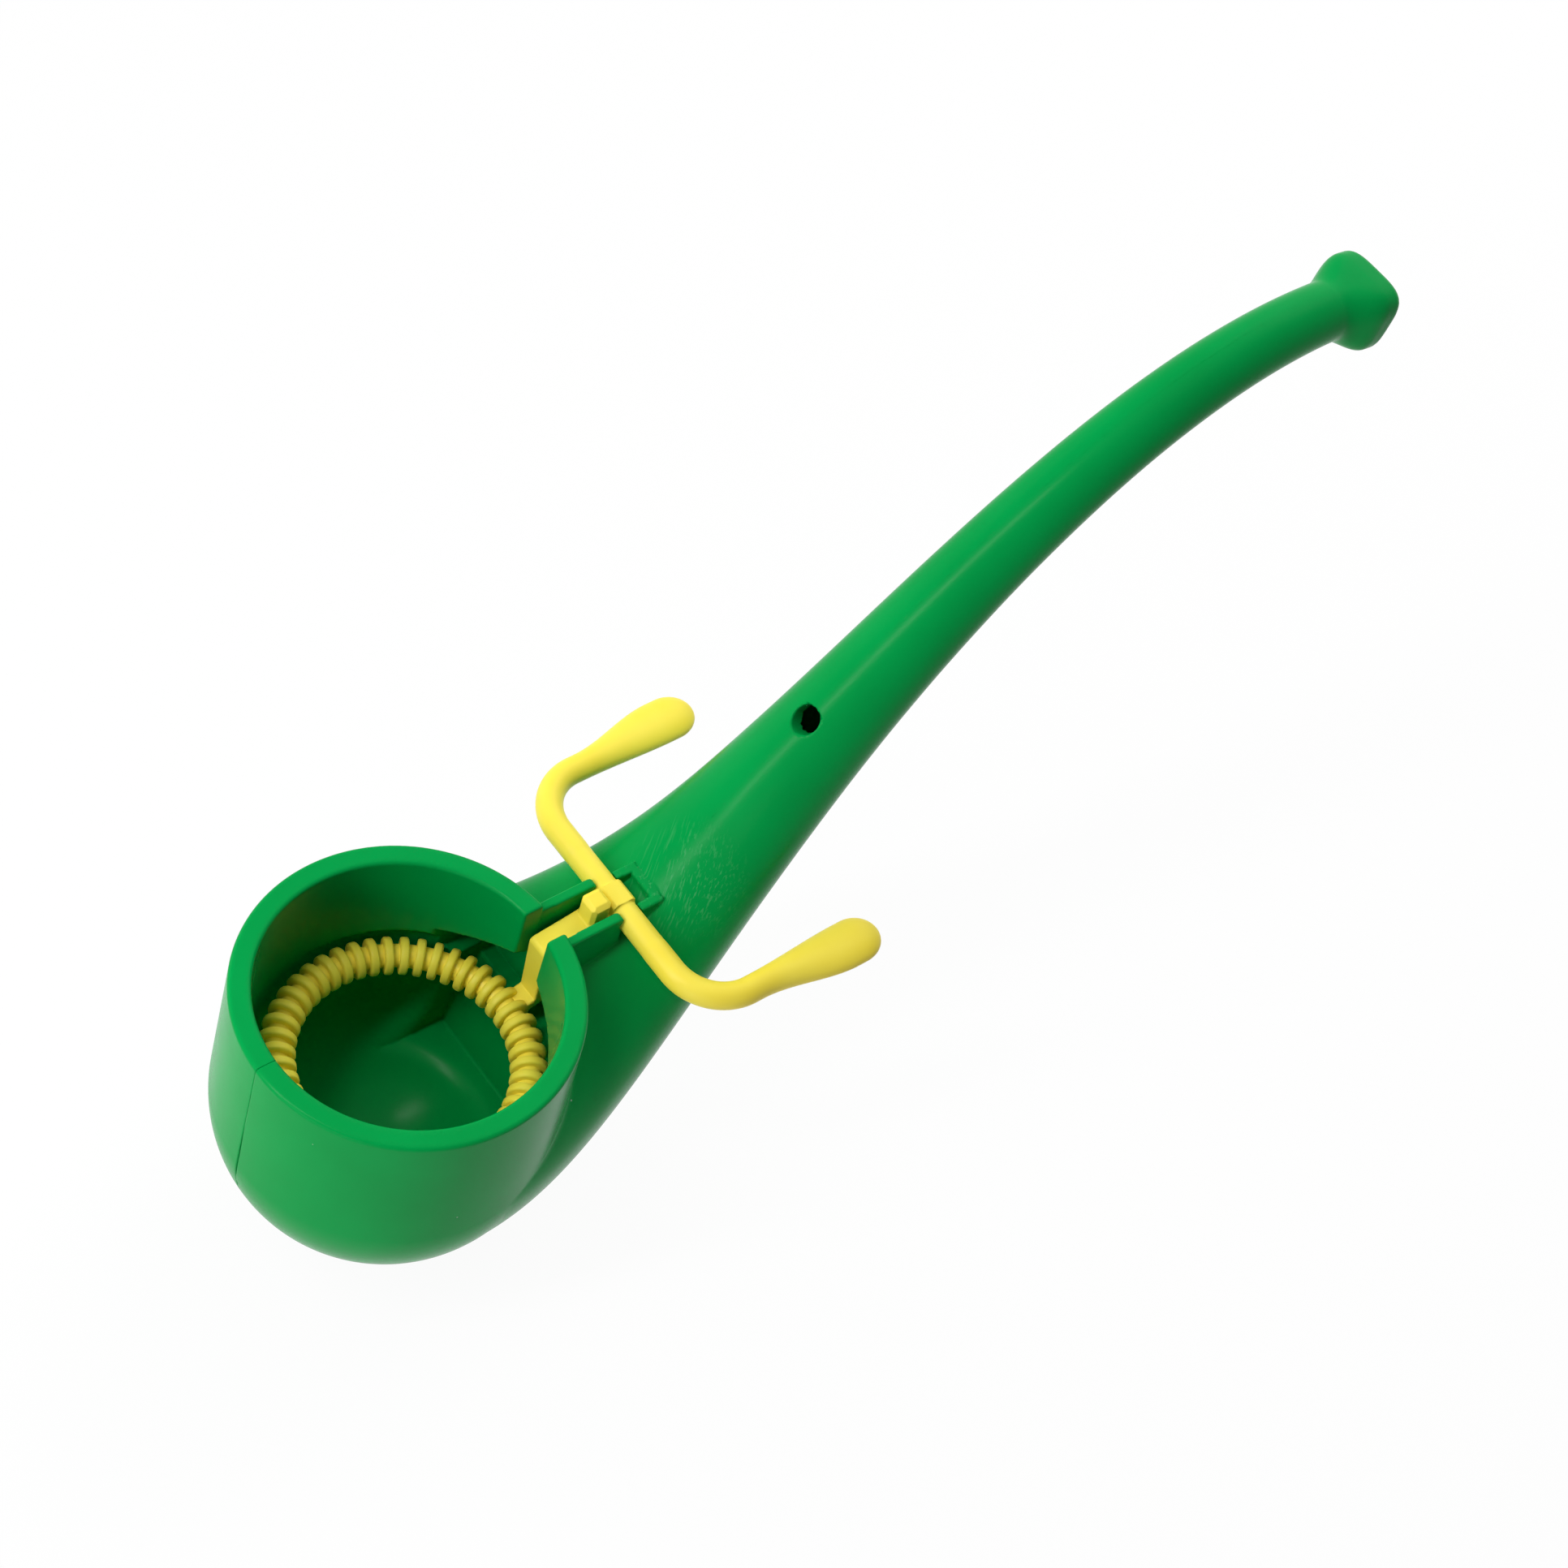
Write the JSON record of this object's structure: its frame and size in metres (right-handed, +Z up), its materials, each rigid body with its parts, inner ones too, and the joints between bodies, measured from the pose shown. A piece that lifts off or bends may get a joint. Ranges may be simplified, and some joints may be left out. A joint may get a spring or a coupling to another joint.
{
  "type": "bubble pipe",
  "caption": "Toy bubble pipe: a round bowl on a hollow bent stem, with a ribbed soap ring that swings up out of the bowl when the paddles of its crossbar are pressed.",
  "frame": {"origin": "centre of the bowl's open rim, on the bowl's axis", "axes": "+Z up out of the bowl, +X from the bowl towards the mouthpiece, +Y to the left of the parting plane"},
  "size_m": [0.148, 0.043, 0.0984],
  "materials": {
    "green_plastic": "semi-gloss moulded polypropylene",
    "yellow_plastic": "semi-gloss moulded polypropylene"
  },
  "bodies": {
    "pipe": {"left_shell": "green_plastic", "right_shell": "green_plastic"},
    "wand": {"bubble_wand": "yellow_plastic"}
  },
  "joints": [
    {"name": "wand_hinge", "type": "hinge", "parent": "pipe", "child": "wand", "pos_m": [0.0291, 0, -0.00296], "axis": [0, 1, 0], "range_deg": [0, 110]}
  ]
}
